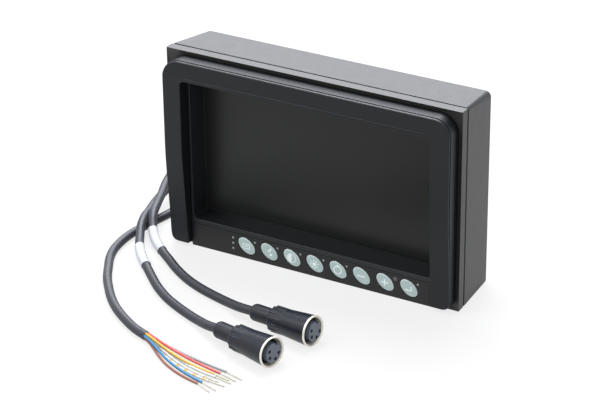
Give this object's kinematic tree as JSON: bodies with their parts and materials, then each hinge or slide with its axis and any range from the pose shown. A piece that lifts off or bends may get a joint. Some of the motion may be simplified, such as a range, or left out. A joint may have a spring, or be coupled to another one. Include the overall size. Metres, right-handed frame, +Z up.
{
  "type": "vehicle backup camera monitor",
  "caption": "Box-shaped reversing-camera display with a sun hood, a row of oval keys below the screen, two socket leads and a stripped power lead.",
  "frame": {"origin": "on the ground under the middle of the monitor's width and depth (hood front to rear face); the leads are left out of that box", "axes": "+X along the screen's width, towards the viewer's right; the screen faces -Y; +Z up"},
  "size_m": [0.2305, 0.2503, 0.129],
  "materials": {
    "housing": "satin moulded plastic",
    "frame": "satin moulded plastic",
    "gasket": "dull",
    "hood": "smooth satin",
    "bezel": "satin",
    "overlay": "printed film, dull",
    "light_pipe": "clear, polished ends",
    "sensor": "glossy",
    "screen_glass": "low-glare coated",
    "lcd": "dark, glossy",
    "backlight": "white",
    "steel": "plain",
    "board": "solder mask",
    "chips": "plain",
    "ribbon": "polyimide film",
    "speaker": "plain",
    "screws": "blackened",
    "brass": "machined",
    "vent": "plain",
    "plate": "satin, blank",
    "nuts": "plain",
    "key": "pale satin",
    "gland": "soft moulded",
    "lead": "satin sheath",
    "label": "blank shrink sleeve",
    "boot": "moulded",
    "coupling": "satin",
    "ring": "turned",
    "insert": "satin",
    "contacts": "plated",
    "wire_grey": "satin insulation",
    "wire_red": "satin insulation",
    "wire_orange": "satin insulation",
    "wire_white": "satin insulation",
    "wire_white_black": "satin insulation, black dashes",
    "wire_white_yellow": "satin insulation, yellow dashes",
    "wire_blue": "satin insulation",
    "wire_brown": "satin insulation",
    "tinned": "tinned strands"
  },
  "bodies": {
    "monitor": {"rear_housing": "housing", "front_frame": "frame", "frame_gasket": "gasket", "sun_hood": "hood", "bezel": "bezel", "key_overlay": "overlay", "light_pipes": "light_pipe", "light_sensor": "sensor", "glass_gasket": "gasket", "cover_glass": "screen_glass", "lcd_panel": "lcd", "backlight": "backlight", "lcd_bracket": "steel", "main_board": "board", "board_parts": "chips", "key_board": "board", "tact_switches": "steel", "ribbon_cable": "ribbon", "speaker": "speaker", "case_screws": "screws", "board_screws": "steel", "mount_inserts": "brass", "pressure_vent": "vent", "rating_plate": "plate", "gland_nuts": "nuts", "cable_gland_1": "gland", "cable_gland_2": "gland", "cable_gland_3": "gland", "camera_cable_1": "lead", "camera_cable_2": "lead", "power_cable": "lead", "label_sleeve_1": "label", "label_sleeve_2": "label", "connector_boot_1": "boot", "connector_boot_2": "boot", "connector_insert_1": "insert", "connector_insert_2": "insert", "socket_contacts_1": "contacts", "socket_contacts_2": "contacts", "wire_grey": "wire_grey", "wire_red": "wire_red", "wire_orange": "wire_orange", "wire_white": "wire_white", "wire_white_black": "wire_white_black", "wire_white_yellow": "wire_white_yellow", "wire_blue": "wire_blue", "wire_brown": "wire_brown", "wire_tips": "tinned"},
    "key_1": {"button_1": "key"},
    "key_2": {"button_2": "key"},
    "key_3": {"button_3": "key"},
    "key_4": {"button_4": "key"},
    "key_5": {"button_5": "key"},
    "key_6": {"button_6": "key"},
    "key_7": {"button_7": "key"},
    "key_8": {"button_8": "key"},
    "coupling_1": {"coupling_sleeve_1": "coupling", "thread_ring_1": "ring"},
    "coupling_2": {"coupling_sleeve_2": "coupling", "thread_ring_2": "ring"}
  },
  "joints": [
    {"name": "key_1_press", "type": "slide", "parent": "monitor", "child": "key_1", "axis": [0, 1, 0], "range_m": [0, 0.0008], "stiffness_N_per_m": 1500},
    {"name": "key_2_press", "type": "slide", "parent": "monitor", "child": "key_2", "axis": [0, 1, 0], "range_m": [0, 0.0008], "stiffness_N_per_m": 1500},
    {"name": "key_3_press", "type": "slide", "parent": "monitor", "child": "key_3", "axis": [0, 1, 0], "range_m": [0, 0.0008], "stiffness_N_per_m": 1500},
    {"name": "key_4_press", "type": "slide", "parent": "monitor", "child": "key_4", "axis": [0, 1, 0], "range_m": [0, 0.0008], "stiffness_N_per_m": 1500},
    {"name": "key_5_press", "type": "slide", "parent": "monitor", "child": "key_5", "axis": [0, 1, 0], "range_m": [0, 0.0008], "stiffness_N_per_m": 1500},
    {"name": "key_6_press", "type": "slide", "parent": "monitor", "child": "key_6", "axis": [0, 1, 0], "range_m": [0, 0.0008], "stiffness_N_per_m": 1500},
    {"name": "key_7_press", "type": "slide", "parent": "monitor", "child": "key_7", "axis": [0, 1, 0], "range_m": [0, 0.0008], "stiffness_N_per_m": 1500},
    {"name": "key_8_press", "type": "slide", "parent": "monitor", "child": "key_8", "axis": [0, 1, 0], "range_m": [0, 0.0008], "stiffness_N_per_m": 1500},
    {"name": "coupling_1_turn", "type": "hinge", "parent": "monitor", "child": "coupling_1", "pos_m": [0.0427, -0.0911, 0.0095], "axis": [0.9863, -0.1562, 0.0523], "continuous": true},
    {"name": "coupling_2_turn", "type": "hinge", "parent": "monitor", "child": "coupling_2", "pos_m": [0.0338, -0.1229, 0.0095], "axis": [0.9646, -0.2585, 0.0523], "continuous": true}
  ]
}
